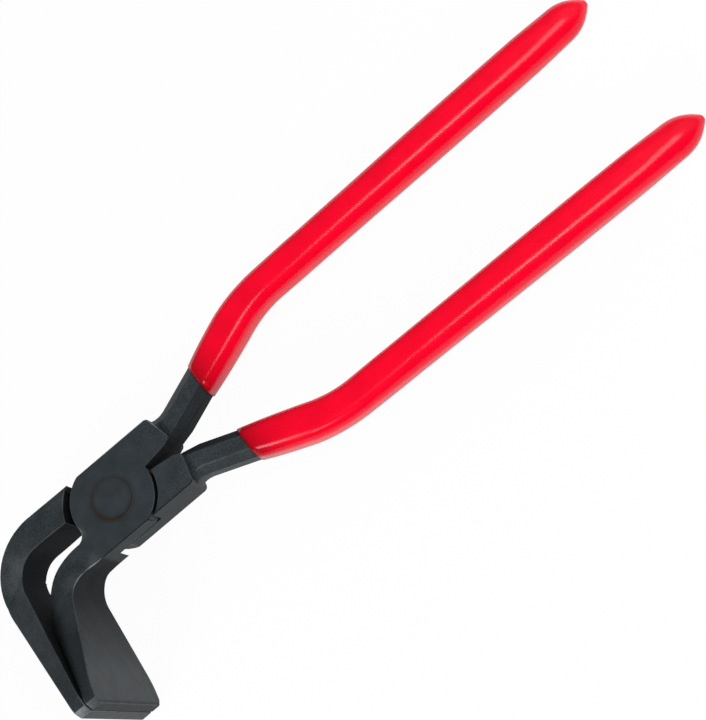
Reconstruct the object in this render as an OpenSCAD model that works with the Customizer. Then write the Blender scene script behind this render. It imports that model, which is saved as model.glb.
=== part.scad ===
// Bent seaming pliers for sheet metal: two forged halves that cross in a lap joint on a flush rivet,
// wide flared jaws turned down square to the handles, and dipped grips on both tangs.
// Origin: on the pivot axis, at the joint's front face. +X runs to the handles, +Z along the pivot axis.

/* [Joint] */
// Thickness of the joint across both lap plates
joint_t = 17; // [13:0.5:22]
// Width of the joint across its straight sides
joint_w = 31; // [29:0.5:33]
// Radius of the lap plates' round ends
plate_r = 16.7; // [16:0.1:18]
// Play between the two lap plates
lap_gap = 0.1; // [0.05:0.05:0.3]
// Gap between a plate's round end and the other arm's boss
boss_gap = 1; // [0.5:0.1:2]
// Gap between a plate's round end and the other arm's jaw shoulder
shoulder_gap = 2.4; // [1:0.1:3]
// Distance from the pivot to the end of a boss
boss_x = 30; // [27:0.5:34]
// Angle by which a boss's end leans back to its outer corner
boss_lean = 13; // [0:1:20]
// Radius of a boss's outer corner
boss_outer_r = 2; // [1:0.5:4]
// Radius of a boss's inner corner
boss_inner_r = 2; // [0.5:0.5:4]
// Radius of the fillet between a plate's round end and the neck of its jaw
neck_fillet_r = 4; // [2:0.5:6]
// Gap between the two bosses at the plates' round ends
notch_gap = 1.8; // [1:0.1:3]
// Angle at which each boss leans away from the gap
notch_angle = 8; // [4:0.5:12]

/* [Rivet] */
// Diameter of the rivet's shaft
rivet_d = 11; // [8:0.5:13]
// Diameter of the rivet's flush heads
rivet_head_d = 15.7; // [13.5:0.1:18]
// Running clearance around the rivet in the front arm
rivet_play = 0.05; // [0.02:0.01:0.1]
// Clearance around the rivet in the rear arm, which holds it
rivet_seat = 0.02; // [0.01:0.01:0.05]

/* [Jaws] */
// Width of both jaws at their tips
jaw_w = 60; // [45:1:80]
// Distance from the pivot to the nip, along the handles
nip_x = 43.5; // [42:0.1:46]
// Drop from the pivot to the jaw tips
jaw_drop = 62; // [52:1:75]
// Gap between the closed tips
nip_gap = 0.3; // [0.2:0.1:1]
// Cut across the tips' corners
tip_corner = 2.2; // [1:0.1:4]

/* [Outer jaw] */
// Thickness of the outer jaw at its tip
outer_tip_t = 4.5; // [3.5:0.1:6]
// Thickness of the outer jaw at its bend
outer_bend_t = 9.9; // [8:0.1:12]
// Thickness of the outer jaw's neck
outer_neck_t = 11.9; // [10:0.1:12.5]
// Radius outside the outer bend
outer_bend_r = 24.8; // [22:0.1:27]
// Radius of the throat, inside the outer bend
outer_throat_r = 11.5; // [9:0.1:14]
// Amount by which the throat is relieved behind the nip
throat_relief = 1.4; // [0.8:0.1:2]
// Length of the parallel sides at the outer jaw's tip
outer_land = 8.2; // [5:0.1:10]
// Slope of the outer jaw's flanks along its leg
outer_flare_leg = 20.6; // [18:0.1:22]
// Draft of the outer jaw's flanks, from the throat to the outer side
outer_draft = 18.3; // [5:0.1:22]
// Draft of its flanks around the bend, from the outer side to the throat
outer_bend_draft = 10.6; // [4:0.1:14]

/* [Inner jaw] */
// Thickness of the inner jaw at its tip
inner_tip_t = 3.9; // [3:0.1:5]
// Thickness of the inner jaw at its bend
inner_bend_t = 12.2; // [10:0.1:14]
// Thickness of the inner jaw's neck
inner_neck_t = 10; // [8:0.1:11]
// Radius of the inner jaw's bend, on the nip side
inner_bend_r = 22.2; // [19:0.1:23]
// Radius of the hollow curve under the bend
inner_hollow_r = 10.4; // [8:0.1:12]
// Length of the parallel sides at the inner jaw's tip
inner_land = 9.5; // [6:0.1:12]
// Distance from the pivot to the place where the inner jaw starts to widen
inner_flare_x = 20.6; // [18:0.1:22]
// Slope of the inner jaw's flanks along its neck
inner_flare_neck = 31; // [24:0.5:36]
// Slope of the inner jaw's flanks along its leg
inner_flare_leg = 23.7; // [22:0.1:25]
// Slope of the same flanks across the leg
inner_flare_across = 6.3; // [4:0.1:9]
// Draft of the inner jaw's flanks, from the forging's parting line to the nip side
inner_draft = 31.4; // [15:0.1:36]
// Lean of the parting line from the leg to the hollow
inner_parting = 7.5; // [5:0.1:10]

/* [Handles] */
// Width of the shank and tang, across the handle
shank_w = 12; // [10:0.5:13]
// Thickness of the shank and tang, along the pivot axis
shank_t = 12; // [9:0.5:13]
// Cut along the shank's four edges
shank_edge = 3; // [1.5:0.1:3.5]
// Radius of the curve from the boss into the shank's outer side
shank_root_r = 12; // [6:0.5:16]
// Step by which the bar's sides draw down at the bend, and again at the tang
tang_step = 0.3; // [0.2:0.1:0.6]
// Angle of the shank to the tool's centre line
shank_angle = 21.7; // [20:0.1:24]
// Angle of the grip to the tool's centre line
handle_angle = 1.2; // [0:0.1:4]
// Distance from the pivot to the handle's bend, along the tool
handle_bend_x = 83; // [76:1:95]
// Distance of the handle's bend from the tool's centre line
handle_bend_y = 28.6; // [27:0.1:32]
// Radius of the handle's bend, at the bar's centre
handle_bend_r = 60; // [40:5:100]
// Distance from the pivot to the handle's end
handle_end_x = 252; // [200:1:300]

/* [Grips] */
// Distance from the pivot to the edge of the dipped grips
grip_start_x = 51; // [48:0.5:56]
// Thickness of the dipped plastic over the shank's flats
grip_wall = 1.4; // [1.2:0.1:2.5]
// Amount by which the grip's sides draw in after the bend
grip_waist = 0.5; // [0:0.1:0.6]
// Amount by which they swell out in the palm
grip_swell = 0.25; // [0:0.05:1]
// Squareness of the grip's section, where 2 is an ellipse
grip_square = 2.7; // [2.4:0.1:4]
// Length of the grip's tapered end
grip_end = 15; // [11:0.5:20]
// Fullness of the tapered end
grip_end_full = 2.5; // [1.8:0.1:3]
// Radius of the blunt point that dipping leaves at the end
drip_r = 1.2; // [0.5:0.1:1.5]
// Plastic beyond the tang's end
grip_plug = 8; // [7:0.5:12]
// Clearance between the tang and the grip
grip_fit = 0.05; // [0.02:0.01:0.1]

/* [Hidden] */
$fn = 96;

// Length that is larger than the tool, for cutting bodies
far = 2 * handle_end_x;
// Overlap of cutting bodies past the faces that they cut
past = 1;
// Depth to which a fillet's curve sinks into the faces that it joins
sink = 0.1;

joint_y = joint_w / 2;
rivet_r = rivet_d / 2;
rivet_head_r = rivet_head_d / 2;

// End of a boss: the direction in which it faces and the centres of its inner and outer corners
boss_end_dir = [cos(boss_lean), sin(boss_lean)];
boss_inner = [boss_x - boss_inner_r, notch_y(boss_x) + boss_inner_r];
boss_outer_y = joint_y - boss_outer_r;
boss_back = (boss_outer_y - boss_inner.y) * boss_end_dir.y + boss_outer_r - boss_inner_r;
boss_outer = [boss_inner.x - boss_back / boss_end_dir.x, boss_outer_y];

// Bend of the handle: the shank's line and the grip's line joined by an arc
shank_dir = [cos(shank_angle), sin(shank_angle)];
handle_dir = [cos(handle_angle), sin(handle_angle)];
handle_bend = [handle_bend_x, handle_bend_y];
bend_turn = shank_angle - handle_angle;
bend_run = handle_bend_r * tan(bend_turn / 2);
arc_start = handle_bend - bend_run * shank_dir;
arc_end = handle_bend + bend_run * handle_dir;
arc_centre = arc_start + handle_bend_r * [sin(shank_angle), -cos(shank_angle)];
arc_len = handle_bend_r * bend_turn * PI / 180;
// Turn by which the bend reaches back into the shank
bend_lap = bend_turn * past / arc_len;
// Run of the straight handle from the bend to the very end of the grip
straight_len = (handle_end_x - arc_end.x) / handle_dir.x;
// The tang stops short of the grip's tapered end
tang_len = straight_len - grip_plug;
// Radius of the dome on the tang's end
tang_dome_r = 0.75 * max(shank_w, shank_t);
// The shank starts inside the boss, clear of the other arm's plate
shank_start = (boss_x - shank_w / 2 - arc_start.x) / shank_dir.x;

// Stations along the handle's centre line, counted from the start of the bend
grip_first = (grip_start_x - shank_w - arc_start.x) / shank_dir.x;
grip_last = arc_len + straight_len;
taper_start = grip_last - grip_end;
ring_sides = 28;
bend_rings = 6;
straight_rings = 9;
taper_rings = 9;

// Points of the jaws' sides at the tips
tip_y = -jaw_drop;
outer_tip_in = [-nip_x - nip_gap / 2, tip_y];
outer_tip_out = outer_tip_in - [outer_tip_t, 0];
inner_tip_in = [-nip_x + nip_gap / 2, tip_y];
inner_tip_out = inner_tip_in + [inner_tip_t, 0];
// Centres of the curves that turn each neck into its leg
throat_x = outer_tip_in.x - throat_relief;
outer_bend_c = [throat_x - outer_bend_t + outer_bend_r, joint_y - outer_bend_r];
outer_throat_c = [throat_x + outer_throat_r, joint_y - outer_neck_t - outer_throat_r];
inner_bend_c = [inner_tip_in.x + inner_bend_r, inner_neck_t - joint_y - inner_bend_r];
inner_hollow_c = [inner_tip_in.x + inner_bend_t + inner_hollow_r, -joint_y - inner_hollow_r];

// Point where a line from p touches the circle of radius r at c, on the circle's left side
function touch(p, c, r) =
    let (
        d = norm(c - p),
        a = atan2(c.y - p.y, c.x - p.x) + asin(r / d)
    )
    p + sqrt(d * d - r * r) * [cos(a), sin(a)];

// Height of the boss's edge beside the gap between the bosses
function notch_y(x) = notch_gap / 2 + (x - plate_r) * tan(notch_angle);

// Point and direction of the handle's centre line at station s
function handle_turn(s) = shank_angle - bend_turn * min(max(s / arc_len, 0), 1);
function handle_at(s) =
    s < 0 ? arc_start + s * shank_dir :
    s > arc_len ? arc_end + (s - arc_len) * handle_dir :
    arc_centre + handle_bend_r * [-sin(handle_turn(s)), cos(handle_turn(s))];

// Places everything that is drawn about the joint's middle plane
module in_frame() translate([0, 0, -joint_t / 2]) children();

// Room for the other arm's lap plate, in the half of the joint that it fills
module plate_room(gap) {
    translate([0, 0, -joint_t])
        cylinder(r = plate_r + gap, h = joint_t + lap_gap / 2);
}

// Hole for the rivet, with its countersinks
module rivet_hole(play) {
    slant = play * sqrt(2);
    half = joint_t / 2;
    depth = rivet_head_r + slant - rivet_r - play;
    cylinder(r = rivet_r + play, h = 2 * joint_t, center = true);
    for (side = [0, 1])
        mirror([0, 0, side])
            translate([0, 0, half - depth])
                cylinder(r1 = rivet_r + play, r2 = rivet_head_r + slant + past, h = depth + past);
}

// Boss that carries the shank, outside the other arm's plate
module boss_outline() {
    polygon([
        [0, notch_y(0)],
        [boss_inner.x, notch_y(boss_inner.x)],
        boss_inner,
        boss_inner + boss_inner_r * boss_end_dir,
        boss_outer + boss_outer_r * boss_end_dir,
        boss_outer,
        [boss_outer.x, joint_y],
        [0, joint_y]
    ]);
    translate(boss_outer)
        circle(r = boss_outer_r);
    translate(boss_inner)
        circle(r = boss_inner_r);
}

// Lap plate: round ends between straight sides
module plate_outline() {
    intersection() {
        circle(r = plate_r);
        square([far, joint_w], center = true);
    }
    boss_outline();
}

// Fills the corner between a plate's round end and a neck whose upper side is at height y
module neck_fillet(y) {
    r = neck_fillet_r + sink;
    c = [-sqrt(pow(plate_r + neck_fillet_r, 2) - pow(y + neck_fillet_r, 2)), y + neck_fillet_r];
    difference() {
        polygon([c, [c.x, y - past], [0, y - past], [0, 0]]);
        translate(c)
            circle(r = r);
    }
}

// Section of the shank and tang, square with its edges cut, grown by extra on every side
module bar_section(extra = 0) {
    w = shank_w / 2 + extra;
    t = shank_t / 2 + extra;
    c = shank_edge + extra * (2 - sqrt(2));
    polygon([
        [w, c - t], [w, t - c], [w - c, t], [c - w, t],
        [-w, t - c], [-w, c - t], [c - w, -t], [w - c, -t]
    ]);
}

// Straight bar from point p in the direction of angle
module bar_run(p, angle, length, extra) {
    translate([p.x, p.y, 0])
        rotate([0, 0, angle])
            rotate([90, 0, 90])
                linear_extrude(length)
                    bar_section(extra);
}

// Shank, bend and tang as one bar with a domed end, drawn down a step at the bend and at the tang
module handle_bar(extra = 0) {
    length = tang_len + extra;
    difference() {
        union() {
            bar_run(handle_at(shank_start), shank_angle, -shank_start, extra);
            translate([arc_centre.x, arc_centre.y, 0])
                rotate([0, 0, 90 + handle_angle])
                    rotate_extrude(angle = bend_turn + bend_lap)
                        translate([handle_bend_r, 0])
                            bar_section(extra - tang_step);
            bar_run(arc_end - past * handle_dir, handle_angle, length + past, extra - 2 * tang_step);
        }
        translate([arc_end.x, arc_end.y, 0])
            rotate([0, 0, handle_angle])
                rotate([0, 90, 0])
                    translate([0, 0, length - tang_dome_r])
                        dome_cut(tang_dome_r);
    }
}

// Start of the shank, which leaves the boss's outer corner in a hollow curve
module shank_root() {
    across = [-shank_dir.y, shank_dir.x];
    rise = across * (handle_bend - boss_outer) + shank_w / 2 + shank_root_r;
    run = sqrt(pow(boss_outer_r + shank_root_r, 2) - rise * rise);
    centre = boss_outer + run * shank_dir + rise * across;
    turn = atan2(run, rise);
    translate([centre.x, centre.y, 0])
        rotate([0, 0, shank_angle - 90 - turn])
            rotate_extrude(angle = turn)
                translate([shank_root_r + shank_w / 2, 0])
                    bar_section(-sink);
}

// What is cut away around a dome of radius r
module dome_cut(r) {
    difference() {
        cylinder(r = 2 * r, h = r + past);
        sphere(r = r);
    }
}

// Lap plate, boss, shank and tang, as on the front arm, for a jaw whose neck has the given thickness
module arm_core(neck_t) {
    translate([0, 0, lap_gap / 2])
        linear_extrude((joint_t - lap_gap) / 2) {
            plate_outline();
            neck_fillet(neck_t - joint_y);
        }
    difference() {
        union() {
            linear_extrude(joint_t, center = true)
                boss_outline();
            handle_bar();
            shank_root();
        }
        plate_room(boss_gap);
        // The shank's inner side goes on in the line of the gap between the bosses
        translate([0, 0, -joint_t])
            linear_extrude(2 * joint_t)
                polygon([
                    [0, notch_y(0)],
                    [0, -joint_w],
                    [boss_x + shank_w, -joint_w],
                    [boss_x + shank_w, notch_y(boss_x + shank_w)]
                ]);
    }
}

// Outline of a jaw: the side towards the nip and the other one are each a neck line, an arc and a leg line
module jaw_outline(bend_c, bend_r, bend_tip, hollow_c, hollow_r, hollow_tip) {
    bend_touch = touch(bend_tip, bend_c, bend_r);
    hollow_touch = touch(hollow_tip, hollow_c, hollow_r);
    difference() {
        union() {
            polygon([
                [0, bend_c.y + bend_r],
                [bend_c.x, bend_c.y + bend_r],
                bend_c,
                bend_touch,
                bend_tip,
                [0, tip_y]
            ]);
            translate(bend_c)
                circle(r = bend_r);
        }
        polygon([
            [far, hollow_c.y + hollow_r],
            [hollow_c.x, hollow_c.y + hollow_r],
            hollow_c,
            hollow_touch,
            hollow_tip + (hollow_tip - hollow_touch),
            [far, 2 * tip_y]
        ]);
        translate(hollow_c)
            circle(r = hollow_r);
    }
}

// Body on the outer side of a flank that goes through point p and rises by the slopes towards -X and -Y
module flank(p, slope_x, slope_y) {
    translate(p)
        rotate([0, atan(norm([slope_x, slope_y])), atan2(slope_y, slope_x)])
            translate([-far / 2, -far / 2, 0])
                cube([far, far, far]);
}

// Outline of the fan seen from the handles, with its corners cut
module fan() {
    z = jaw_w / 2;
    rotate([90, 0, 90])
        translate([0, 0, -far / 2])
            linear_extrude(far)
                polygon([
                    [far, -z], [tip_y + tip_corner, -z], [tip_y, tip_corner - z],
                    [tip_y, z - tip_corner], [tip_y + tip_corner, z], [far, z]
                ]);
}

// Body of the first child's outline, as wide as given, with the second child cut from both of its flanks
module between_flanks(width) {
    difference() {
        intersection() {
            linear_extrude(width, center = true)
                children(0);
            fan();
        }
        for (side = [0, 1])
            mirror([0, 0, side])
                children(1);
    }
}

module inner_outline() {
    jaw_outline(inner_bend_c, inner_bend_r, inner_tip_in, inner_hollow_c, inner_hollow_r, inner_tip_out);
}

module outer_outline() {
    jaw_outline(outer_bend_c, outer_bend_r, outer_tip_out, outer_throat_c, outer_throat_r, outer_tip_in);
}

// Flanks of the inner jaw: the neck's, the leg's, and the draft from the parting line to the nip side
module inner_flanks() {
    slope = [tan(inner_flare_across), tan(inner_flare_leg)];
    parting = [sin(inner_parting), cos(inner_parting)];
    draft = tan(inner_draft) * [-parting.y, parting.x];
    full = inner_tip_out + [0, inner_land];
    flank([-inner_flare_x, -joint_y, joint_t / 2], tan(inner_flare_neck), slope.y);
    flank([full.x, full.y, jaw_w / 2], slope.x, slope.y);
    flank(
        [inner_tip_out.x, inner_tip_out.y, jaw_w / 2 + slope.y * inner_land],
        slope.x + draft.x,
        slope.y + draft.y
    );
}

// Flanks of the outer jaw's leg, with draft from the throat to the outer side
module outer_flanks() {
    slope = tan(outer_flare_leg);
    full = outer_tip_in + [0, outer_land];
    flank([full.x, full.y, jaw_w / 2], 0, slope);
    flank([full.x, full.y, jaw_w / 2], -tan(outer_draft), slope);
}

module inner_jaw() {
    difference() {
        union() {
            linear_extrude(joint_t, center = true)
                inner_outline();
            between_flanks(jaw_w) {
                inner_outline();
                inner_flanks();
            }
        }
        plate_room(shoulder_gap);
    }
}

// Flanks of the outer jaw's bend, which rise from its outer side to the throat
module outer_bend_flanks() {
    r = outer_bend_r + past;
    translate([outer_bend_c.x, outer_bend_c.y, joint_t / 2])
        difference() {
            cylinder(r = far, h = far);
            translate([0, 0, -past])
                cylinder(
                    r1 = r + past / tan(outer_bend_draft),
                    r2 = 0,
                    h = r * tan(outer_bend_draft) + past
                );
        }
}

// The outer jaw widens a little around its bend, and then from the bend to the tip
module outer_jaw() {
    difference() {
        union() {
            linear_extrude(joint_t, center = true)
                outer_outline();
            between_flanks(jaw_w) {
                outer_outline();
                outer_bend_flanks();
            }
            between_flanks(jaw_w) {
                outer_outline();
                outer_flanks();
            }
        }
        mirror([0, 0, 1])
            plate_room(shoulder_gap);
    }
}

module front_arm() {
    color("dimgray")
        in_frame()
            difference() {
                union() {
                    arm_core(inner_neck_t);
                    inner_jaw();
                }
                rivet_hole(rivet_play);
            }
}

module rear_arm() {
    color("dimgray")
        in_frame()
            difference() {
                union() {
                    rotate([180, 0, 0])
                        arm_core(outer_neck_t);
                    outer_jaw();
                }
                rivet_hole(rivet_seat);
            }
}

module pivot_rivet() {
    half = joint_t / 2;
    head_h = rivet_head_r - rivet_r;
    color("slategray")
        in_frame()
            rotate_extrude()
                polygon([
                    [0, -half], [rivet_head_r, -half], [rivet_r, head_h - half],
                    [rivet_r, half - head_h], [rivet_head_r, half], [0, half]
                ]);
}

// Growth of the grip's section at station s, drawn in after the bend and fullest in the palm
function grip_growth(s) =
    let (
        u = min(max((s - arc_len) / (taper_start - arc_len), 0), 1),
        v = min(max(s / arc_len, 0), 1)
    )
    (grip_waist + grip_swell) * sin(120 * u) - grip_waist * sin(90 * v);

function signed_power(v, p) = sign(v) * pow(abs(v), p);

// One ring of the grip at station s, its section scaled by shrink
function grip_ring(s, shrink) =
    let (
        at = handle_at(s),
        turn = handle_turn(s),
        grow = grip_wall + grip_growth(s),
        w = (shank_w / 2 + grow) * shrink,
        t = (shank_t / 2 + grow) * shrink,
        p = 2 / grip_square
    )
    [
        for (i = [0 : ring_sides - 1])
            let (
                a = 360 * i / ring_sides,
                across = w * signed_power(cos(a), p)
            )
            [at.x - across * sin(turn), at.y + across * cos(turn), t * signed_power(sin(a), p)]
    ];

// Solid through a list of rings
module loft(rings) {
    n = len(rings[0]);
    last = len(rings) - 1;
    sides = [
        for (i = [0 : last - 1])
            for (j = [0 : n - 1])
                let (
                    a = i * n + j,
                    b = i * n + (j + 1) % n
                )
                each [[a, b, b + n], [a, b + n, a + n]]
    ];
    first_cap = [for (j = [0 : n - 1]) n - 1 - j];
    last_cap = [for (j = [0 : n - 1]) last * n + j];
    polyhedron([for (ring = rings) each ring], concat(sides, [first_cap, last_cap]));
}

// Share of the full section at u along the tapered end, which stops at the blunt point
grip_point = drip_r / (shank_w / 2 + grip_wall);
function taper(u) = 1 - (1 - grip_point) * pow(u, grip_end_full);

// Outside of the dipped grip, from before its edge to its blunt point
module grip_skin() {
    straight = taper_start - arc_len;
    loft(concat(
        [grip_ring(grip_first, 1)],
        [for (i = [0 : bend_rings]) grip_ring(arc_len * i / bend_rings, 1)],
        [for (i = [1 : straight_rings]) grip_ring(arc_len + straight * i / straight_rings, 1)],
        [
            for (i = [1 : taper_rings])
                let (u = sin(90 * i / taper_rings))
                grip_ring(taper_start + grip_end * u, taper(u))
        ]
    ));
}

module dipped_grip() {
    difference() {
        grip_skin();
        handle_bar(grip_fit);
        translate([grip_start_x - far, -far / 2, -far / 2])
            cube([far, far, far]);
    }
}

module upper_grip() {
    color("crimson")
        in_frame()
            dipped_grip();
}

module lower_grip() {
    color("crimson")
        in_frame()
            rotate([180, 0, 0])
                dipped_grip();
}

front_arm();
rear_arm();
pivot_rivet();
upper_grip();
lower_grip();
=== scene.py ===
"""Bent seaming pliers: blackened forgings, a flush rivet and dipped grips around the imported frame."""

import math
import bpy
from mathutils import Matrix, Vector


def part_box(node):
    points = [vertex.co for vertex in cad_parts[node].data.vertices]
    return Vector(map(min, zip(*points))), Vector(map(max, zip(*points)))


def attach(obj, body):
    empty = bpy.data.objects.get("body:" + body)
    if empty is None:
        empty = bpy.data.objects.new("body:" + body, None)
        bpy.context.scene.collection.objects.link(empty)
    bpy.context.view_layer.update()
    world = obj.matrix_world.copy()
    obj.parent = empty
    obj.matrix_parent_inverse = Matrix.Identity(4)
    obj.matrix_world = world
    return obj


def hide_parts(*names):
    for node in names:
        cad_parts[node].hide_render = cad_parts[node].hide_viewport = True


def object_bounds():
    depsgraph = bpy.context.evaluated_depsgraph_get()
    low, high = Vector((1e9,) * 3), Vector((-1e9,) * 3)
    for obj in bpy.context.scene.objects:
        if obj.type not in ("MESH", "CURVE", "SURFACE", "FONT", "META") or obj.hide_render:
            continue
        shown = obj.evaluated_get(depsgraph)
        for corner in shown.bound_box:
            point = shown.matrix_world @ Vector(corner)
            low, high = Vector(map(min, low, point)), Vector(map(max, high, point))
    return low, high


bl_info = {
    "name": "Bent Seaming Pliers",
    "version": (1, 0, 0),
    "blender": (4, 5, 0),
    "location": "3D View > Sidebar > Seaming Pliers",
    "description": "Dresses a pair of bent seaming pliers and sets the stage for them",
    "category": "Object",
}

import bmesh
import bpy
import numpy as np
from bpy.props import FloatProperty, FloatVectorProperty, IntProperty, PointerProperty
from mathutils import Matrix, Vector

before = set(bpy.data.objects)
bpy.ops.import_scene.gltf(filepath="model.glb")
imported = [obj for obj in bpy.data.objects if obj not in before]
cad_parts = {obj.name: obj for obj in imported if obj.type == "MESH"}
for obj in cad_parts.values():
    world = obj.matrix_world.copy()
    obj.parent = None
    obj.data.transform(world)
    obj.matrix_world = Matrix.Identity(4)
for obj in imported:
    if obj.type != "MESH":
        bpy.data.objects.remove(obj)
CAD_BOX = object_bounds()

MM = 0.001
PHOTO_HEIGHT = 720
SENSOR = 36.0

# What the frame gives: the rivet's faces and radius, the grips' ends and the lowest point
RIVET_LOW, RIVET_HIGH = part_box("pivot_rivet")
GRIP_LOW, GRIP_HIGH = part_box("upper_grip")
MID_Z = (RIVET_LOW.z + RIVET_HIGH.z) / 2
FLOOR_Z = CAD_BOX[0].z - 0.1 * MM

# Levels of wear on the forgings, up to 1 where bare steel shows, and of darkening, down to -1, which is
# painted shade except on the outer flank
WEAR_AND_SHADE = {
    "deep_shade": -1.0,
    "shank_inside": -0.8,
    "hollow": -0.75,
    "inner_flank": -0.6,
    "inner_end": -0.4,
    "outer_flank": -0.3,
    "joint_side": -0.2,
    "edge": 0.12,
    "inner_scuff": 0.15,
    "outer_bright_patch": 0.17,
}

# Places where the black is rubbed off the edges, with the reach of the rubbing, in millimetres
WORN_SPOTS = (
    ((27.5, 14.0, 0.0), 6.0),
    ((-47.5, -61.0, 20.7), 7.0),
    ((-27.0, -17.7, 4.0), 6.0),
    ((-20.0, -15.0, 0.5), 5.0),
    ((-16.2, -2.6, 0.0), 2.5),
)

# Lighter patch on the outer jaw's flank at its bend: its place and reach in millimetres
BRIGHT_PATCH = ((-42.5, 2.0, 4.0), 12.0)

# Along the tool from the pivot: the end of the jaws, the start of the shanks, and the ends of the joint's
# sides and edges
JAW_X = -16 * MM
SHANK_X = 14 * MM
JOINT_X = 26 * MM
JOINT_EDGE_X = 30 * MM

# The joint's lower edge is past this distance from the centre line, and edges lie in a band this wide
JOINT_EDGE_Y = 14.5 * MM
EDGE_BAND = 1 * MM

# Share of a normal along the pivot axis past which a face counts as flat, and as a flank of the jaws
FLAT_SHARE = 0.5
FLANK_SHARE = 0.75

# Mesh limits: points this near are one, edges this short are dropped, and points this near to a cut lie
# on it
WELD = 0.2 * MM
SLIVER = 0.05 * MM
SNAP = 0.02 * MM

# Rings of the grips: around the lip, over which the coat gets its full thickness, over which they turn
# square to the handle, and at the bullet end, which draws in with this power of the way along it
LIP_RINGS = 6
THIN_RINGS = 5
SQUARE_RINGS = 8
END_RINGS = 18
END_POWER = 2.5

# Indices of the Mix node's sockets for colours
MIX_A, MIX_B, MIX_RESULT = 6, 7, 2


def srgb(code):
    """Linear colour, with alpha, of an sRGB hex code."""
    values = [int(code[i:i + 2], 16) / 255 for i in (0, 2, 4)]
    linear = [v / 12.92 if v <= 0.04045 else ((v + 0.055) / 1.055) ** 2.4 for v in values]
    return (*linear, 1.0)


def ramp(value, start, end):
    """0 up to the start, 1 past the end, and even in between."""
    return min(max((value - start) / (end - start), 0), 1)


def fade(point, centre, reach):
    """1 at a centre, 0 at its reach and negative past it. The centre and the reach are in millimetres."""
    return 1 - (point - Vector(centre) * MM).length / (reach * MM)


class ForgingSettings(bpy.types.PropertyGroup):
    """Surface of the two forged arms"""

    edge: FloatProperty(
        name="Edge",
        description="Width of the rounding along the forging's edges",
        default=0.45 * MM,
        min=0.1 * MM,
        max=1.0 * MM,
        unit="LENGTH",
        precision=5,
    )
    edge_steps: IntProperty(
        name="Edge steps",
        description="Steps of the rounding along the edges",
        default=4,
        min=2,
        max=8,
    )
    flank_start: FloatProperty(
        name="Flank start",
        description="Distance from the pivot at which the jaw's flanks start to change",
        default=13 * MM,
        unit="LENGTH",
        precision=5,
    )
    flank_blend: FloatProperty(
        name="Flank blend",
        description="Radius over which one flank runs into the next",
        default=4 * MM,
        unit="LENGTH",
        precision=5,
    )
    flank_grid: FloatProperty(
        name="Flank grid",
        description="Size of the flanks' mesh",
        default=1.6 * MM,
        unit="LENGTH",
        precision=5,
    )
    rivet_rim: FloatProperty(
        name="Rivet rim",
        description="Radius around the pivot inside which the edges stay as machined",
        default=9.5 * MM,
        unit="LENGTH",
        precision=5,
    )
    oxide: FloatVectorProperty(
        name="Oxide",
        description="Colour of the blackened steel",
        subtype="COLOR",
        size=4,
        default=srgb("2f3539"),
    )
    bare: FloatVectorProperty(
        name="Worn steel",
        description="Colour of the steel where the black has worn off the edges",
        subtype="COLOR",
        size=4,
        default=srgb("8a8e90"),
    )
    # Near-black that the negative levels mix in: painted shade in the gaps, the throat, the hollow and on
    # sides turned from the lamps, and the outer flank's darkening towards its tip
    scale: FloatVectorProperty(
        name="Scale",
        description="Colour of the black scale that stays where nothing rubs",
        subtype="COLOR",
        size=4,
        default=srgb("0c0e10"),
    )
    tint: FloatVectorProperty(
        name="Heat tint",
        description="Colour that the heat of setting the rivet left around it",
        subtype="COLOR",
        size=4,
        default=srgb("2a231d"),
    )


class RivetSettings(bpy.types.PropertyGroup):
    """Flush rivet at the pivot"""

    shaft_radius: FloatProperty(
        name="Shaft radius",
        description="Radius of the rivet between its heads",
        default=5.5 * MM,
        unit="LENGTH",
        precision=5,
    )
    rim_cut: FloatProperty(
        name="Rim cut",
        description="Small cut around each head, which shows as a faint ring",
        default=0.2 * MM,
        unit="LENGTH",
        precision=5,
    )
    sides: IntProperty(
        name="Sides",
        description="Steps around the rivet",
        default=96,
        min=24,
        max=192,
    )


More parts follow.
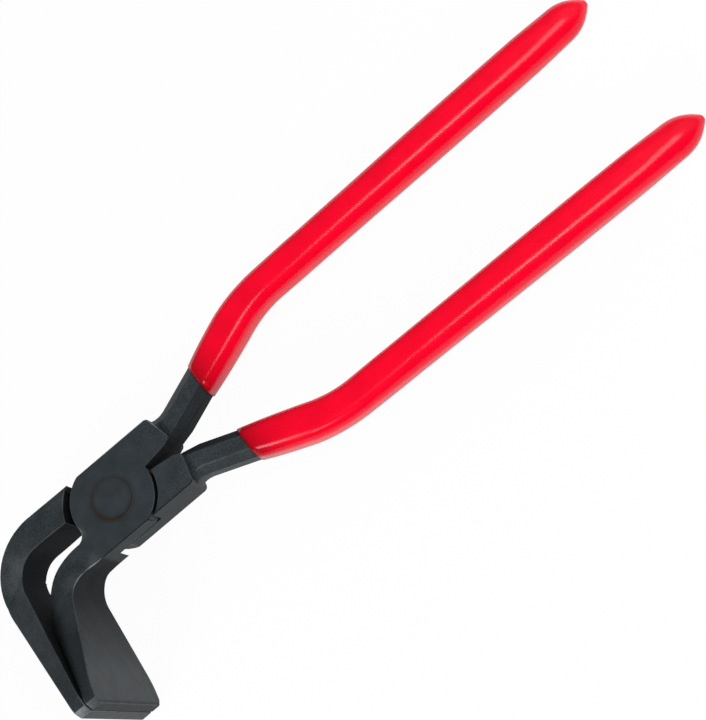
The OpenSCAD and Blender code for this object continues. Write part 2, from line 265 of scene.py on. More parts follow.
class GripSettings(bpy.types.PropertyGroup):
    """Dipped plastic sleeves on the tangs"""

    bar: FloatProperty(
        name="Bar",
        description="Width and thickness of the bar inside the grip",
        default=12 * MM,
        unit="LENGTH",
        precision=5,
    )
    facet: FloatProperty(
        name="Facet",
        description="Cut along the bar's edges, which shows through the plastic as soft ridges",
        default=3 * MM,
        unit="LENGTH",
        precision=5,
    )
    wall: FloatProperty(
        name="Wall",
        description="Thickness of the plastic over the bar's flats",
        default=1.4 * MM,
        unit="LENGTH",
        precision=5,
    )
    lip: FloatProperty(
        name="Lip",
        description="Thickness of the plastic at its edge on the shank",
        default=0.5 * MM,
        unit="LENGTH",
        precision=5,
    )
    ridge_radius: FloatProperty(
        name="Ridge radius",
        description="Radius of the plastic over the bar's ridges, at the shank",
        default=4.2 * MM,
        unit="LENGTH",
        precision=5,
    )
    soft_radius: FloatProperty(
        name="Soft radius",
        description="Radius of the plastic over the ridges where it is thickest, in the palm",
        default=6.2 * MM,
        unit="LENGTH",
        precision=5,
    )
    shank_angle: FloatProperty(
        name="Shank angle",
        description="Angle of the shank to the tool's centre line",
        default=math.radians(21.7),
        subtype="ANGLE",
    )
    handle_angle: FloatProperty(
        name="Handle angle",
        description="Angle of the straight handle to the tool's centre line",
        default=math.radians(1.2),
        subtype="ANGLE",
    )
    bend: FloatVectorProperty(
        name="Bend",
        description="Where the lines of the shank and the straight handle meet",
        subtype="XYZ",
        unit="LENGTH",
        size=2,
        default=(83 * MM, 28.6 * MM),
    )
    bend_radius: FloatProperty(
        name="Bend radius",
        description="Radius of the handle's bend at the bar's centre",
        default=60 * MM,
        unit="LENGTH",
    )
    taper: FloatProperty(
        name="Taper",
        description="Length of the grip's bullet end",
        default=15 * MM,
        unit="LENGTH",
        precision=5,
    )
    point_radius: FloatProperty(
        name="Point radius",
        description="Radius of the blunt point that dipping leaves at the end",
        default=1.2 * MM,
        unit="LENGTH",
        precision=5,
    )
    waist: FloatProperty(
        name="Waist",
        description="Amount by which the sides draw in after the bend",
        default=0.5 * MM,
        unit="LENGTH",
        precision=5,
    )
    swell: FloatProperty(
        name="Swell",
        description="Amount by which the sides swell in the palm",
        default=0.25 * MM,
        unit="LENGTH",
        precision=5,
    )
    ring_step: FloatProperty(
        name="Ring step",
        description="Distance from one ring of the grip's mesh to the next",
        default=2 * MM,
        unit="LENGTH",
        precision=5,
    )
    sides: IntProperty(
        name="Sides",
        description="Points around the grip",
        default=64,
        min=16,
        max=128,
    )
    red: FloatVectorProperty(
        name="Red",
        description="Colour of the dipped plastic",
        subtype="COLOR",
        size=4,
        default=srgb("fb002a"),
    )
    # Partly painted shade: mixed in where the coat is thin, it also darkens each grip towards the shank as
    # if the light fell off there
    thin_shaded_red: FloatVectorProperty(
        name="Thin red",
        description="Colour of the plastic at its edge, where it is thin and the dark steel shows through",
        subtype="COLOR",
        size=4,
        default=srgb("a80012"),
    )


class StageSettings(bpy.types.PropertyGroup):
    """Camera, lamps and floor"""

    focal_px: FloatProperty(
        name="Focal length",
        description="The lens's focal length in pixels of the photograph",
        default=1445.15,
        subtype="PIXEL",
    )
    camera_place: FloatVectorProperty(
        name="Camera",
        description="Where the camera stands",
        subtype="XYZ",
        unit="LENGTH",
        size=3,
        default=(112.24 * MM, -193.91 * MM, 488.12 * MM),
    )
    camera_aim: FloatVectorProperty(
        name="View",
        description="Direction in which the camera looks",
        subtype="DIRECTION",
        size=3,
        default=(-0.02372, 0.33622, -0.94148),
    )
    camera_up: FloatVectorProperty(
        name="Up",
        description="Direction of the picture's upper edge",
        subtype="DIRECTION",
        size=3,
        default=(0.64581, 0.72403, 0.24230),
    )
    floor: FloatVectorProperty(
        name="Floor",
        description="Colour of the floor",
        subtype="COLOR",
        size=4,
        default=srgb("f4f4f4"),
    )
    floor_white: FloatProperty(
        name="Floor white",
        description="How far the floor shows as plain white, and not as paint that takes the shadow",
        default=0.96,
        min=0.0,
        max=1.0,
        subtype="FACTOR",
    )
    floor_size: FloatProperty(
        name="Floor size",
        description="Half the width of the floor",
        default=20.0,
        unit="LENGTH",
    )
    ambient_low: FloatProperty(
        name="Low ambient",
        description="Strength of the light from the side of the lower handle",
        default=0.06,
        precision=3,
    )
    ambient_high: FloatProperty(
        name="High ambient",
        description="Strength of the light from the side of the upper handle",
        default=0.18,
        precision=3,
    )
    handle_power: FloatProperty(
        name="Handle lamp",
        description="Power of the soft lamp beyond the handles",
        default=2.1,
        unit="POWER",
    )
    jaw_power: FloatProperty(
        name="Jaw lamp",
        description="Power of the soft lamp beyond the jaws",
        default=6.0,
        unit="POWER",
    )
    spot_power: FloatProperty(
        name="Spot",
        description="Power of the small lamp beside the camera",
        default=0.7,
        unit="POWER",
    )
    end_spot_power: FloatProperty(
        name="End spot",
        description="Power of the lamp above the grips' ends",
        default=1.5,
        unit="POWER",
    )
    low_spot_power: FloatProperty(
        name="Low spot",
        description="Power of the small lamp below the handles in the picture",
        default=0.7,
        unit="POWER",
    )


class SeamerSettings(bpy.types.PropertyGroup):
    """All settings of the pliers"""

    forging: PointerProperty(type=ForgingSettings)
    rivet: PointerProperty(type=RivetSettings)
    grip: PointerProperty(type=GripSettings)
    stage: PointerProperty(type=StageSettings)


def add(tree, kind, inputs=None, **settings):
    """Adds a shader node. Inputs maps a socket to a value, or to an output that is linked to it."""
    node = tree.nodes.new(kind)
    for name, value in settings.items():
        setattr(node, name, value)
    for name, value in (inputs or {}).items():
        if isinstance(value, bpy.types.NodeSocket):
            tree.links.new(value, node.inputs[name])
        else:
            node.inputs[name].default_value = value
    return node


def blank_material(name):
    """Material without nodes, and its node tree."""
    material = bpy.data.materials.new(name)
    material.use_nodes = True
    material.node_tree.nodes.clear()
    return material, material.node_tree


def black_oxide(name, forging):
    """Forged steel, blackened: a mottled, dark satin skin with painted shade in gaps and lighter worn
    edges.
    """
    material, tree = blank_material(name)
    place = add(tree, "ShaderNodeTexCoord").outputs["Object"]
    # Mottling of the forged skin, about 7 mm across, and a grit of 0.6 mm, as coarse as it needs to show
    mottle = add(tree, "ShaderNodeTexNoise", {"Vector": place, "Scale": 1 / (7 * MM), "Detail": 5.0})
    grit = add(tree, "ShaderNodeTexNoise", {"Vector": place, "Scale": 1 / (0.6 * MM), "Detail": 2.0})
    cloudy = add(
        tree,
        "ShaderNodeMapRange",
        {"Value": mottle.outputs["Fac"], "From Min": 0.3, "From Max": 0.7, "To Min": 0.8, "To Max": 1.2},
    )
    # Painted shade: ambient occlusion darkens the joint's gaps and the throat
    gap_occlusion = add(tree, "ShaderNodeAmbientOcclusion", {"Distance": 10 * MM}, samples=16)
    gap_shade = add(
        tree,
        "ShaderNodeMapRange",
        {"Value": gap_occlusion.outputs["AO"], "From Min": 0.35, "From Max": 0.9, "To Min": 0.25, "To Max": 1.0},
    )
    mottle_and_gap_shade = add(
        tree,
        "ShaderNodeMath",
        {0: cloudy.outputs["Result"], 1: gap_shade.outputs["Result"]},
        operation="MULTIPLY",
    )
    # The joint's faces are ground smooth, and the forged skin away from them is grainy
    flat = add(tree, "ShaderNodeVectorMath", {0: place, 1: (1.0, 1.0, 0.0)}, operation="MULTIPLY")
    reach = add(tree, "ShaderNodeVectorMath", {0: flat.outputs["Vector"]}, operation="LENGTH")
    forged = add(
        tree,
        "ShaderNodeMapRange",
        {
            "Value": reach.outputs["Value"],
            "From Min": 16 * MM,
            "From Max": 26 * MM,
            "To Min": 0.3,
            "To Max": 2.0,
        },
    )
    grain = add(tree, "ShaderNodeMath", {0: grit.outputs["Fac"], 1: 0.5}, operation="SUBTRACT")
    grainy = add(
        tree,
        "ShaderNodeMath",
        {0: grain.outputs["Value"], 1: forged.outputs["Result"], 2: 1.0},
        operation="MULTIPLY_ADD",
    )
    shade = add(
        tree,
        "ShaderNodeMath",
        {0: mottle_and_gap_shade.outputs["Value"], 1: grainy.outputs["Value"]},
        operation="MULTIPLY",
    )
    # Heat tint around the rivet's rim, stronger on one side, as the setting left it
    away = add(
        tree,
        "ShaderNodeMath",
        {0: reach.outputs["Value"], 1: RIVET_HIGH.x},
        operation="SUBTRACT",
    )
    near = add(tree, "ShaderNodeMath", {0: away.outputs["Value"]}, operation="ABSOLUTE")
    ring = add(
        tree,
        "ShaderNodeMapRange",
        {
            "Value": near.outputs["Value"],
            "From Min": 0.0,
            "From Max": 2.2 * MM,
            "To Min": 1.0,
            "To Max": 0.0,
        },
        interpolation_type="SMOOTHSTEP",
    )
    side = add(tree, "ShaderNodeVectorMath", {0: place, 1: (-0.9, -0.4, 0.0)}, operation="DOT_PRODUCT")
    strong = add(
        tree,
        "ShaderNodeMapRange",
        {
            "Value": side.outputs["Value"],
            "From Min": -4 * MM,
            "From Max": 7 * MM,
            "To Min": 0.3,
            "To Max": 0.85,
        },
    )
    tint = add(
        tree,
        "ShaderNodeMath",
        {0: ring.outputs["Result"], 1: strong.outputs["Result"]},
        operation="MULTIPLY",
    )
    skin = add(
        tree,
        "ShaderNodeMix",
        {"Factor": tint.outputs["Value"], MIX_A: forging.oxide, MIX_B: forging.tint},
        data_type="RGBA",
    )
    dark = add(
        tree,
        "ShaderNodeMix",
        {"Factor": 1.0, MIX_A: skin.outputs[MIX_RESULT], MIX_B: shade.outputs["Value"]},
        data_type="RGBA",
        blend_type="MULTIPLY",
    )
    # Bare steel in patches where the wear is positive, and near-black, duller painted shade where it is
    # negative; on the outer flank a darkening towards its tip
    wear_and_shade = add(tree, "ShaderNodeAttribute", attribute_name="wear_and_shade")
    patch = add(
        tree,
        "ShaderNodeMapRange",
        {"Value": mottle.outputs["Fac"], "From Min": 0.3, "From Max": 0.55, "To Min": 0.3, "To Max": 1.0},
    )
    rubbed = add(
        tree,
        "ShaderNodeMath",
        {0: wear_and_shade.outputs["Fac"], 1: patch.outputs["Result"]},
        operation="MULTIPLY",
        use_clamp=True,
    )
    bared = add(
        tree,
        "ShaderNodeMix",
        {"Factor": rubbed.outputs["Value"], MIX_A: dark.outputs[MIX_RESULT], MIX_B: forging.bare},
        data_type="RGBA",
    )
    painted_shade_share = add(
        tree,
        "ShaderNodeMath",
        {0: wear_and_shade.outputs["Fac"], 1: -0.8},
        operation="MULTIPLY",
        use_clamp=True,
    )
    colour = add(
        tree,
        "ShaderNodeMix",
        {"Factor": painted_shade_share.outputs["Value"], MIX_A: bared.outputs[MIX_RESULT], MIX_B: forging.scale},
        data_type="RGBA",
    )
    satin = add(
        tree,
        "ShaderNodeMapRange",
        {"Value": grit.outputs["Fac"], "From Min": 0.3, "From Max": 0.7, "To Min": 0.48, "To Max": 0.6},
    )
    dull = add(
        tree,
        "ShaderNodeMath",
        {0: painted_shade_share.outputs["Value"], 1: 0.45, 2: satin.outputs["Result"]},
        operation="MULTIPLY_ADD",
    )
    # Shallow dents that the scale left in the forging, under the grit
    dents = add(
        tree,
        "ShaderNodeBump",
        {"Height": mottle.outputs["Fac"], "Strength": 0.6, "Distance": 0.4 * MM},
    )
    bump = add(
        tree,
        "ShaderNodeBump",
        {
            "Height": grit.outputs["Fac"],
            "Strength": 0.1,
            "Distance": 0.1 * MM,
            "Normal": dents.outputs["Normal"],
        },
    )
    # The oxide covers the metal, and it is porous and reflects little, so its IOR is low
    shader = add(
        tree,
        "ShaderNodeBsdfPrincipled",
        {
            "Base Color": colour.outputs[MIX_RESULT],
            "Metallic": 0.0,
            "Roughness": dull.outputs["Value"],
            "IOR": 1.3,
            "Normal": bump.outputs["Normal"],
        },
    )
    add(tree, "ShaderNodeOutputMaterial", {"Surface": shader.outputs["BSDF"]})
    return material


def dipped_plastic(name, grip):
    """Plasticised PVC, dipped: a saturated red with a wet gloss over a very faint waviness."""
    material, tree = blank_material(name)
    place = add(tree, "ShaderNodeTexCoord").outputs["Object"]
    # Waviness of the dip, about 9 mm long
    wave = add(tree, "ShaderNodeTexNoise", {"Vector": place, "Scale": 1 / (9 * MM), "Detail": 1.0})
    shade = add(
        tree,
        "ShaderNodeMapRange",
        {"Value": wave.outputs["Fac"], "From Min": 0.3, "From Max": 0.7, "To Min": 0.95, "To Max": 1.05},
    )
    # The dark steel shows through where the coat is thin, and less and less as it thickens. This darkening
    # also stands as painted shade at the shank end of each grip
    thin = add(tree, "ShaderNodeAttribute", attribute_name="thin")
    shaded_through = add(tree, "ShaderNodeMath", {0: thin.outputs["Fac"], 1: 1.4}, operation="POWER")
    coat = add(
        tree,
        "ShaderNodeMix",
        {"Factor": shaded_through.outputs["Value"], MIX_A: grip.red, MIX_B: grip.thin_shaded_red},
        data_type="RGBA",
    )
    colour = add(
        tree,
        "ShaderNodeMix",
        {"Factor": 1.0, MIX_A: coat.outputs[MIX_RESULT], MIX_B: shade.outputs["Result"]},
        data_type="RGBA",
        blend_type="MULTIPLY",
    )
    rough = add(
        tree,
        "ShaderNodeMapRange",
        {"Value": wave.outputs["Fac"], "From Min": 0.3, "From Max": 0.7, "To Min": 0.2, "To Max": 0.23},
    )
    bump = add(
        tree,
        "ShaderNodeBump",
        {"Height": wave.outputs["Fac"], "Strength": 0.05, "Distance": 0.3 * MM},
    )
    # Hard PVC has an IOR of about 1.53. This soft coat reflects less, so it is lower here
    shader = add(
        tree,
        "ShaderNodeBsdfPrincipled",
        {
            "Base Color": colour.outputs[MIX_RESULT],
            "Roughness": rough.outputs["Result"],
            "IOR": 1.34,
            "Normal": bump.outputs["Normal"],
        },
    )
    add(tree, "ShaderNodeOutputMaterial", {"Surface": shader.outputs["BSDF"]})
    return material


def floor_paint(name, stage):
    """Matt white floor that shows as white to the camera and in reflections, and keeps a faint shadow."""
    material, tree = blank_material(name)
    path = add(tree, "ShaderNodeLightPath")
    mirrored = add(
        tree,
        "ShaderNodeMath",
        {0: path.outputs["Is Glossy Ray"], 1: path.outputs["Is Transmission Ray"]},
        operation="MAXIMUM",
    )
    seen = add(
        tree,
        "ShaderNodeMath",
        {0: path.outputs["Is Camera Ray"], 1: mirrored.outputs["Value"]},
        operation="MAXIMUM",
    )
    share = add(
        tree,
        "ShaderNodeMath",
        {0: seen.outputs["Value"], 1: stage.floor_white},
        operation="MULTIPLY",
    )
    matt = add(tree, "ShaderNodeBsdfDiffuse", {"Color": stage.floor})
    white = add(tree, "ShaderNodeEmission", {"Strength": 1.0})
    both = add(
        tree,
        "ShaderNodeMixShader",
        {0: share.outputs["Value"], 1: matt.outputs["BSDF"], 2: white.outputs["Emission"]},
    )
    add(tree, "ShaderNodeOutputMaterial", {"Surface": both.outputs["Shader"]})
    return material


def place_piece(name, mesh, body, material):
    """Object that holds a finished mesh, rides on a body and takes its finish from a slot."""
    obj = bpy.data.objects.new(name, mesh)
    bpy.context.scene.collection.objects.link(obj)
    mesh.materials.append(material)
    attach(obj, body)
    return obj


def finish_mesh(bm, name):
    """Mesh made from a bmesh, smooth, with its faces outwards."""
    bmesh.ops.recalc_face_normals(bm, faces=bm.faces)
    for face in bm.faces:
        face.smooth = True
    mesh = bpy.data.meshes.new(name)
    bm.to_mesh(mesh)
    bm.free()
    return mesh


def forged_skin(node, forging):
    """Copy of an arm's solid with the rounded edges and soft flanks of a forging."""
    bm = bmesh.new()
    bm.from_mesh(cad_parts[node].data)
    # The solid's loose triangles become whole faces
    bmesh.ops.remove_doubles(bm, verts=bm.verts, dist=WELD)
    bmesh.ops.dissolve_degenerate(bm, edges=bm.edges, dist=SLIVER)
    bmesh.ops.dissolve_limit(
        bm, angle_limit=math.radians(0.5), verts=bm.verts, edges=bm.edges, delimit=set()
    )
    rounded = bm.faces.layers.int.new("rounded")
    flanks = flank_faces(bm, -forging.flank_start)
    planes = flank_planes(flanks)
    made = bmesh.ops.bevel(
        bm,
        geom=[edge for edge in bm.edges if worth_rounding(edge, flanks, forging)],
        offset=forging.edge,
        offset_type="OFFSET",
        segments=forging.edge_steps,
        profile=0.5,
        affect="EDGES",
        clamp_overlap=False,
        material=-1,
    )
    for face in made["faces"]:
        face[rounded] = 1
    # The cut corners of the jaw's tip count as rounded too
    tip = CAD_BOX[0].y + 3 * MM
    for face in bm.faces:
        if face.normal.y < -0.5 and abs(face.normal.z) > 0.5 and face.calc_center_median().y < tip:
            face[rounded] = 1
    # Where roundings meet, short edges that fold back are closed up
    folded = [e for e in bm.edges if e.is_manifold and e.calc_face_angle() > math.radians(150)]
    bmesh.ops.collapse(bm, edges=[e for e in folded if e.calc_length() < 2 * forging.edge])
    soften_flanks(bm, planes, rounded, forging)
    mark_wear_and_shade(bm, rounded, node == "front_arm")
    bm.faces.layers.int.remove(rounded)
    return flat_faced(finish_mesh(bm, node))


def worth_rounding(edge, flanks, forging):
    """True for a sharp outer edge that has room for the rounding and isn't hidden in a grip or the bore."""
    if not edge.is_manifold or not edge.is_convex:
        return False
    if not math.radians(25) < edge.calc_face_angle() < math.radians(120):
        return False
    start, end = (vert.co for vert in edge.verts)
    in_bore = max(start.xy.length, end.xy.length) < forging.rivet_rim
    in_grip = min(start.x, end.x) > GRIP_LOW.x + 4 * MM
    if in_bore or in_grip or all(face in flanks for face in edge.link_faces):
        return False
    along = (end - start).normalized()
    room = min(max((v.co - start).cross(along).length for v in face.verts) for face in edge.link_faces)
    return room > 2 * forging.edge


def flank_faces(bm, start):
    """Faces of a jaw, and of the neck that it grows from, that look along the pivot axis."""
    outer = RIVET_HIGH.z - MID_Z - 0.5 * MM
    return {
        face
        for face in bm.faces
        if abs(face.normal.z) > FLANK_SHARE
        and face.calc_center_median().x < start
        and abs(face.calc_center_median().z - MID_Z) > outer
    }


def flank_planes(flanks):
    """The near side's sloping flanks, as slopes and the distance from the middle plane at the pivot."""
    planes = []
    for face in flanks:
        if FLANK_SHARE < face.normal.z < 0.999 and face.calc_area() > (1.5 * MM) ** 2:
            slope = face.normal.xy / face.normal.z
            place = face.verts[0].co
            planes.append((slope, place.z - MID_Z + slope.dot(place.xy)))
    return planes


def soften_flanks(bm, planes, rounded, forging):
    """Rounds the low edges between a jaw's flanks over a wide radius, as a forging die leaves them."""
    joint = RIVET_HIGH.z - MID_Z
    tip = CAD_BOX[1].z - MID_Z

    def height(x, y):
        """Distance of the flank from the middle plane."""
        flank = min(offset - slope.x * x - slope.y * y for slope, offset in planes)
        return max(joint, min(tip, flank))

    low, start = CAD_BOX[0], -forging.flank_start
    bmesh.ops.bisect_plane(
        bm,
        geom=bm.verts[:] + bm.edges[:] + bm.faces[:],
        dist=SNAP,
        plane_co=(start, 0, 0),
        plane_no=(1, 0, 0),
    )
    # A grid over the flanks and their rounded edges, and lines across the flat sides of the leg
    cuts = [((x, 0, 0), (1, 0, 0)) for x in np.arange(start, low.x, -forging.flank_grid)]
    cuts += [((0, y, 0), (0, 1, 0)) for y in np.arange(low.y, 2 * joint, forging.flank_grid)]
    leg_side = 100 * MM ** 2
    for place, normal in cuts:
        cut = flank_faces(bm, start)
        for face in bm.faces:
            if face.calc_center_median().x < start:
                long_side = normal[1] and abs(face.normal.z) < FLAT_SHARE and face.calc_area() > leg_side
                if face[rounded] or long_side:
                    cut.add(face)
        geom = list({v for f in cut for v in f.verts}) + list({e for f in cut for e in f.edges}) + list(cut)
        bmesh.ops.bisect_plane(bm, geom=geom, dist=SNAP, plane_co=place, plane_no=normal)

    # Each point moves away from the middle plane as the mean height of the flanks around it says,
    # taken on three circles
    blend = forging.flank_blend
    turns = [math.radians(30 * i) for i in range(12)]
    circles = [share * blend for share in (0.35, 0.65, 0.95)]
    around = [(r * math.cos(t), r * math.sin(t)) for r in circles for t in turns]
    for vert in bm.verts:
        x, y, z = vert.co
        if x < start:
            mean = sum(height(x + dx, y + dy) for dx, dy in around) / len(around)
            # The tips stay as they are
            share = ramp(y, low.y + blend, low.y + 2 * blend)
            vert.co.z = MID_Z + (z - MID_Z) * (1 + share * (mean / height(x, y) - 1))


def mark_wear_and_shade(bm, rounded, front):
    """Marks the wear and the painted shade on the front arm or the rear one."""
    wear_and_shade = bm.verts.layers.float.new("wear_and_shade")
    bm.normal_update()
    for vert in bm.verts:
        vert[wear_and_shade] = wear_and_shade_at(vert, rounded, front)


def wear_and_shade_at(vert, rounded, front):
    """Wear and painted shade of a point: on a rounded edge, on the sides of the forging or on its flat
    faces and flanks.
    """
    x, y, z = vert.co
    normals = [face.normal for face in vert.link_faces if not face[rounded]]
    sides = [normal for normal in normals if abs(normal.z) < FLAT_SHARE]
    flats = [normal for normal in normals if abs(normal.z) >= FLAT_SHARE]
    rubbed = max(fade(vert.co, *spot) for spot in WORN_SPOTS)
    on_jaw = x < JAW_X
    if x > SHANK_X and vert.normal.y * (-1 if front else 1) > 0.3:
        # The sides of the shanks that face each other get painted shade
        return WEAR_AND_SHADE["shank_inside"]
    if not normals:
        # Edges are rubbed, but the joint's lower edge and the same edge on its other side get painted shade
        near_edge = z > RIVET_HIGH.z - EDGE_BAND and y < -JOINT_EDGE_Y
        far_edge = z < RIVET_LOW.z + EDGE_BAND and y > JOINT_EDGE_Y
        if abs(x) < JOINT_EDGE_X and (near_edge or far_edge) and rubbed <= 0:
            return WEAR_AND_SHADE["deep_shade"]
        return max(rubbed, WEAR_AND_SHADE["edge"])
    if sides and on_jaw and y > CAD_BOX[0].y + EDGE_BAND:
        # Painted shade on both sides of the nip and the throat, and in the hollow behind the inner jaw,
        # fading down its leg
        outward = sides[0].x - sides[0].y
        if (outward > 0) != front:
            return WEAR_AND_SHADE["deep_shade"]
        return WEAR_AND_SHADE["hollow"] * ramp(y, -50 * MM, -22 * MM) if front else 0.0
    # Painted shade on the inner jaw's end
    if sides and on_jaw and front:
        return WEAR_AND_SHADE["inner_end"]
    # Painted shade on the joint's sides
    if sides and not flats and JAW_X < x < JOINT_X:
        return WEAR_AND_SHADE["joint_side"]
    if flats and on_jaw and front:
        # The inner jaw's flank has painted shade towards its tip, and is scuffed at the bend
        return WEAR_AND_SHADE["inner_scuff"] * max(rubbed, 0) + WEAR_AND_SHADE["inner_flank"] * ramp(-y, 20 * MM, 35 * MM)
    # The outer jaw's flank is darker towards its tip, and lighter in a patch at its bend
    if flats and on_jaw:
        brightened = max(fade(vert.co, *BRIGHT_PATCH), 0)
        return WEAR_AND_SHADE["outer_bright_patch"] * brightened + WEAR_AND_SHADE["outer_flank"] * ramp(-y, 30 * MM, 50 * MM)
    return 0.0


def flat_faced(mesh):
    """The mesh with normals that follow its large faces, so that they shade flat between rounded edges."""
    holder = bpy.data.objects.new(mesh.name, mesh)
    bpy.context.scene.collection.objects.link(holder)
    weighted = holder.modifiers.new("Normals", "WEIGHTED_NORMAL")
    weighted.mode = "FACE_AREA"
    weighted.weight = 100
    result = bpy.data.meshes.new_from_object(
        holder.evaluated_get(bpy.context.evaluated_depsgraph_get())
    )
    bpy.data.objects.remove(holder)
    return result


class SEAMER_OT_arms(bpy.types.Operator):
    """Forge the two arms, with soft edges and a blackened skin"""

    bl_idname = "seamer.arms"
    bl_label = "Forged Arms"

    def execute(self, context):
        forging = context.scene.seamer.forging
        material = black_oxide("black_oxide_forging", forging)
        for node, body in (("front_arm", "front_half"), ("rear_arm", "rear_half")):
            mesh = forged_skin(node, forging)
            arm = place_piece("forged_" + node, mesh, body, material)
            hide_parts(node)
        return {"FINISHED"}


class SEAMER_OT_rivet(bpy.types.Operator):
    """Turn the flush rivet"""

    bl_idname = "seamer.rivet"
    bl_label = "Pivot Rivet"

    def execute(self, context):
        settings = context.scene.seamer
        rivet = settings.rivet
        head = RIVET_HIGH.x
        half = RIVET_HIGH.z - MID_Z
        depth = head - rivet.shaft_radius
        cut = rivet.rim_cut
        # Half of the outline as radius and height, from the head's centre to the shaft, and the same below
        profile = [
            (0, half),
            (head - cut, half),
            (head - cut, half - cut),
            (rivet.shaft_radius, half - depth),
        ]
        profile += [(r, -z) for r, z in reversed(profile)]
        bm = bmesh.new()
        points = [bm.verts.new((r, 0, MID_Z + z)) for r, z in profile]
        edges = [bm.edges.new(pair) for pair in zip(points, points[1:])]
        bmesh.ops.spin(
            bm,
            geom=points + edges,
            axis=(0, 0, 1),
            angle=2 * math.pi,
            steps=rivet.sides,
            use_merge=True,
        )
        bmesh.ops.remove_doubles(bm, verts=bm.verts, dist=0.001 * MM)
        mesh = finish_mesh(bm, "pivot_rivet")
        mesh.set_sharp_from_angle(angle=math.radians(30))
        material = black_oxide("black_oxide_rivet", settings.forging)
        obj = place_piece("flush_rivet", mesh, "rear_half", material)
        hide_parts("pivot_rivet")
        return {"FINISHED"}


class HandleLine:
    """Centre line of the upper handle: the shank, a bend and the straight grip."""

    def __init__(self, grip):
        self.angle = grip.shank_angle
        self.turn = grip.shank_angle - grip.handle_angle
        self.radius = grip.bend_radius
        self.arc = self.radius * self.turn
        self.shank = Vector((math.cos(grip.shank_angle), math.sin(grip.shank_angle)))
        self.straight = Vector((math.cos(grip.handle_angle), math.sin(grip.handle_angle)))
        # Where the bend starts and ends, and how far from its start the grip begins and ends
        corner = Vector(grip.bend)
        run = self.radius * math.tan(self.turn / 2)
        self.start = corner - run * self.shank
        self.end = corner + run * self.straight
        self.first = (GRIP_LOW.x - self.start.x) / self.shank.x
        self.last = self.arc + (GRIP_HIGH.x - self.end.x) / self.straight.x

    def at(self, s):
        """Point on the line, and the direction across it, at distance s from the start of the bend."""
        angle = self.angle - self.turn * ramp(s, 0, self.arc)
        across = Vector((-math.sin(angle), math.cos(angle)))
        if s < 0:
            point = self.start + s * self.shank
        elif s > self.arc:
            point = self.end + (s - self.arc) * self.straight
        else:
            point = self.start + self.radius * (across - Vector((-self.shank.y, self.shank.x)))
        return point, across


def octagon_reach(angle, half, facet, radius):
    """Point, at an angle, of a square bar's section with its edges cut and its ridges rounded."""
    direction = Vector((math.cos(angle), math.sin(angle)))
    inner = half - radius
    cut = max(facet - radius * (2 - math.sqrt(2)), 0)
    flat = max(inner - cut, 0)
    x, y = (inner, flat) if abs(direction.x) >= abs(direction.y) else (flat, inner)
    corner = Vector((math.copysign(x, direction.x), math.copysign(y, direction.y)))
    return corner + radius * direction


def dipped_sleeve(name, grip, side):
    """Sleeve on the upper handle, or the lower one with side -1, from its lip to its blunt point."""
    line = HandleLine(grip)
    taper_start = line.last - grip.taper
    blunt = grip.point_radius / (grip.bar / 2 + grip.wall)

    def growth(s):
        """Growth of the section: drawn in after the bend, fullest at three quarters of the straight."""
        full = math.sin(math.radians(120) * ramp(s, line.arc, taper_start))
        drawn = math.sin(math.radians(90) * ramp(s, 0, line.arc))
        return (grip.waist + grip.swell) * full - grip.waist * drawn

    def ring_point(angle, s, wall, shrink, level):
        """Point of the ring at s, grown by wall over the bar. At level 1 the ring is square to the tool."""
        soft = ramp(s, line.first, 2 * line.arc)
        radius = grip.ridge_radius + (grip.soft_radius - grip.ridge_radius) * soft
        # At the end the section runs into a circle, and a thin coat follows the ridges closely
        radius += (grip.bar / 2 + wall - radius) * ramp(s, taper_start - grip.taper, taper_start)
        radius *= math.sqrt(ramp(wall, 0, grip.wall))
        section = shrink * octagon_reach(angle, grip.bar / 2 + wall, grip.facet, radius)
        point, across = line.at(s)
        flat = point + section.x * across
        flat += level * line.shank * (point.x - flat.x) / line.shank.x
        return Vector((flat.x, side * flat.y, MID_Z + section.y))

    # Rings as distance, wall, share of the section, how far the ring is square to the tool, and thinness
    rings = [(line.first + inside, 0.0, 1.0, 1.0, 1.0) for inside in (4 * grip.wall, grip.lip)]
    for i in range(1, LIP_RINGS + 1):
        a = math.pi / 2 * i / LIP_RINGS
        s = line.first + grip.lip * (1 - math.sin(a))
        rings.append((s, grip.lip * (1 - math.cos(a)), 1.0, 1.0, 1.0))
    steps = round((taper_start - line.first) / grip.ring_step)
    for i in range(1, steps + 1):
        s = line.first + grip.lip + (taper_start - line.first - grip.lip) * i / steps
        thinness = math.exp(-i / THIN_RINGS)
        wall = grip.wall - (grip.wall - grip.lip) * thinness + growth(s)
        rings.append((s, wall, 1.0, max(1 - i / SQUARE_RINGS, 0), thinness))
    for i in range(1, END_RINGS + 1):
        u = math.sin(math.pi / 2 * i / END_RINGS)
        s = taper_start + grip.taper * u
        rings.append((s, grip.wall + growth(s), 1 - (1 - blunt) * u ** END_POWER, 0.0, 0.0))

    bm = bmesh.new()
    thin = bm.verts.layers.float.new("thin")
    turn = bm.verts.layers.float.new("turn")
    verts = bmesh.ops.create_circle(bm, segments=grip.sides, radius=1.0)["verts"]
    for i, vert in enumerate(verts):
        vert[turn] = 2 * math.pi * (i + 0.5) / grip.sides
    edges = list(bm.edges)
    for i, (*ring, thinness) in enumerate(rings):
        if i:
            made = bmesh.ops.extrude_edge_only(bm, edges=edges)["geom"]
            verts = [g for g in made if isinstance(g, bmesh.types.BMVert)]
            edges = [g for g in made if isinstance(g, bmesh.types.BMEdge) and len(g.link_faces) == 1]
        for vert in verts:
            vert.co = ring_point(vert[turn], *ring)
            vert[thin] = thinness
    bmesh.ops.holes_fill(bm, edges=bm.edges, sides=grip.sides)
    bm.verts.layers.float.remove(turn)
    return finish_mesh(bm, name)


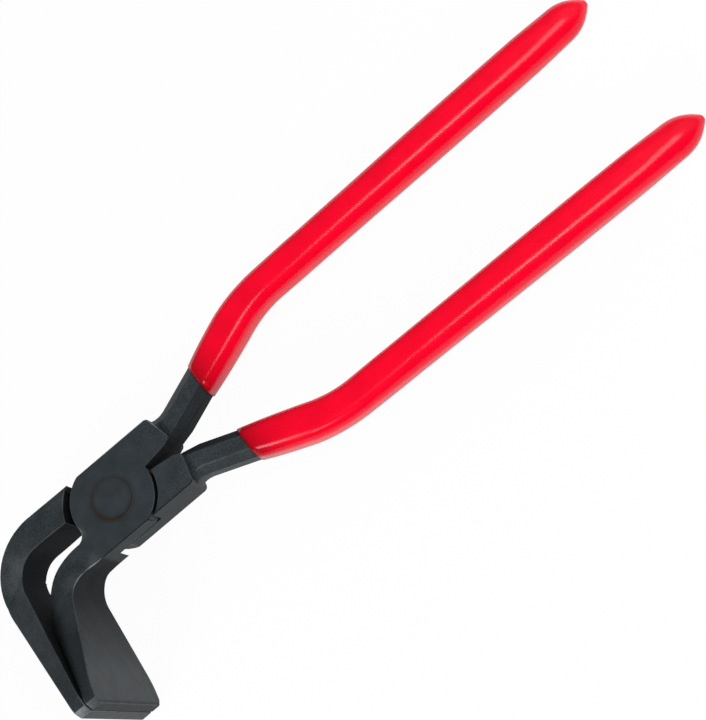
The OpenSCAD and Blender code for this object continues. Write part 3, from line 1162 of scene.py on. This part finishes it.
class SEAMER_OT_grips(bpy.types.Operator):
    """Dip both handles in red plastic"""

    bl_idname = "seamer.grips"
    bl_label = "Dipped Grips"

    def execute(self, context):
        grip = context.scene.seamer.grip
        material = dipped_plastic("dipped_red_pvc", grip)
        for node, body, side in (("upper_grip", "front_half", 1), ("lower_grip", "rear_half", -1)):
            mesh = dipped_sleeve(node, grip, side)
            sleeve = place_piece("dipped_" + node, mesh, body, material)
            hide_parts(node)
        return {"FINISHED"}


def add_lamp(name, place, aim, size, power):
    """Square area lamp that shines from a place to the tool's centre line, at a distance from the pivot."""
    data = bpy.data.lights.new(name, "AREA")
    data.size = size
    data.energy = power
    lamp = bpy.data.objects.new(name, data)
    lamp.location = place
    lamp.rotation_euler = (Vector((aim, 0, 0)) - Vector(place)).to_track_quat("-Z", "Y").to_euler()
    bpy.context.scene.collection.objects.link(lamp)
    return lamp


class SEAMER_OT_stage(bpy.types.Operator):
    """Lay the floor and set the lamps and the camera"""

    bl_idname = "seamer.stage"
    bl_label = "Stage"

    def execute(self, context):
        scene = context.scene
        stage = scene.seamer.stage
        scene.view_settings.view_transform = "Standard"

        bm = bmesh.new()
        bmesh.ops.create_grid(bm, x_segments=1, y_segments=1, size=stage.floor_size)
        bmesh.ops.translate(bm, verts=bm.verts, vec=(0, 0, FLOOR_Z))
        mesh = bpy.data.meshes.new("floor")
        bm.to_mesh(mesh)
        bm.free()
        mesh.materials.append(floor_paint("matt_white_floor", stage))
        floor = bpy.data.objects.new("floor", mesh)
        scene.collection.objects.link(floor)

        # Light from all around, which grows across the tool from the lower handle's side to the upper one's
        world = bpy.data.worlds.new("studio")
        world.use_nodes = True
        tree = world.node_tree
        tree.nodes.clear()
        place = add(tree, "ShaderNodeTexCoord").outputs["Generated"]
        parts = add(tree, "ShaderNodeSeparateXYZ", {"Vector": place})
        level = add(
            tree,
            "ShaderNodeMapRange",
            {
                "Value": parts.outputs["Y"],
                "From Min": -0.7,
                "From Max": 0.6,
                "To Min": stage.ambient_low,
                "To Max": stage.ambient_high,
            },
        )
        light = add(
            tree,
            "ShaderNodeBackground",
            {"Color": (1.0, 1.0, 1.0, 1.0), "Strength": level.outputs["Result"]},
        )
        add(tree, "ShaderNodeOutputWorld", {"Surface": light.outputs["Background"]})
        scene.world = world

        # Two soft lamps in line with the handles. The first is left out of reflections, where it would show
        # as a broad patch on the grips' ends
        soft = add_lamp("handle_softbox", (0.62, 0.04, 0.38), aim=0.15, size=0.7, power=stage.handle_power)
        soft.visible_glossy = False
        add_lamp("jaw_softbox", (-0.6, -0.45, 0.65), aim=0.0, size=0.45, power=stage.jaw_power)
        # Smaller ones beside the camera, above the grips' ends and below the handles, for the highlights
        add_lamp("spot", (0.23, -0.21, 0.74), aim=0.1, size=0.18, power=stage.spot_power)
        add_lamp("end_spot", (0.42, -0.21, 0.74), aim=0.2, size=0.32, power=stage.end_spot_power)
        add_lamp("low_spot", (-0.25, -0.75, 0.6), aim=0.1, size=0.16, power=stage.low_spot_power)

        camera = bpy.data.objects.new("photo_camera", bpy.data.cameras.new("photo_camera"))
        scene.collection.objects.link(camera)
        back = -Vector(stage.camera_aim).normalized()
        right = Vector(stage.camera_up).cross(back).normalized()
        up = back.cross(right)
        turned = Matrix((right, up, back)).transposed().to_4x4()
        camera.matrix_world = Matrix.Translation(stage.camera_place) @ turned
        camera.data.sensor_width = SENSOR
        camera.data.lens = stage.focal_px * SENSOR / PHOTO_HEIGHT
        camera.data.clip_start = 0.01
        scene.camera = camera
        return {"FINISHED"}


class SEAMER_PT_panel(bpy.types.Panel):
    """Lists the pliers' pieces and the stage"""

    bl_label = "Seaming Pliers"
    bl_idname = "SEAMER_PT_panel"
    bl_space_type = "VIEW_3D"
    bl_region_type = "UI"
    bl_category = "Seaming Pliers"

    def draw(self, context):
        for operator in OPERATORS:
            self.layout.operator(operator.bl_idname)


OPERATORS = (SEAMER_OT_stage, SEAMER_OT_arms, SEAMER_OT_rivet, SEAMER_OT_grips)
CLASSES = (
    ForgingSettings,
    RivetSettings,
    GripSettings,
    StageSettings,
    SeamerSettings,
    *OPERATORS,
    SEAMER_PT_panel,
)


def register():
    for cls in CLASSES:
        bpy.utils.register_class(cls)
    bpy.types.Scene.seamer = PointerProperty(type=SeamerSettings)


def unregister():
    del bpy.types.Scene.seamer
    for cls in reversed(CLASSES):
        bpy.utils.unregister_class(cls)


def main():
    register()
    bpy.ops.seamer.stage()
    bpy.ops.seamer.arms()
    bpy.ops.seamer.rivet()
    bpy.ops.seamer.grips()


if __name__ == "__main__":
    main()
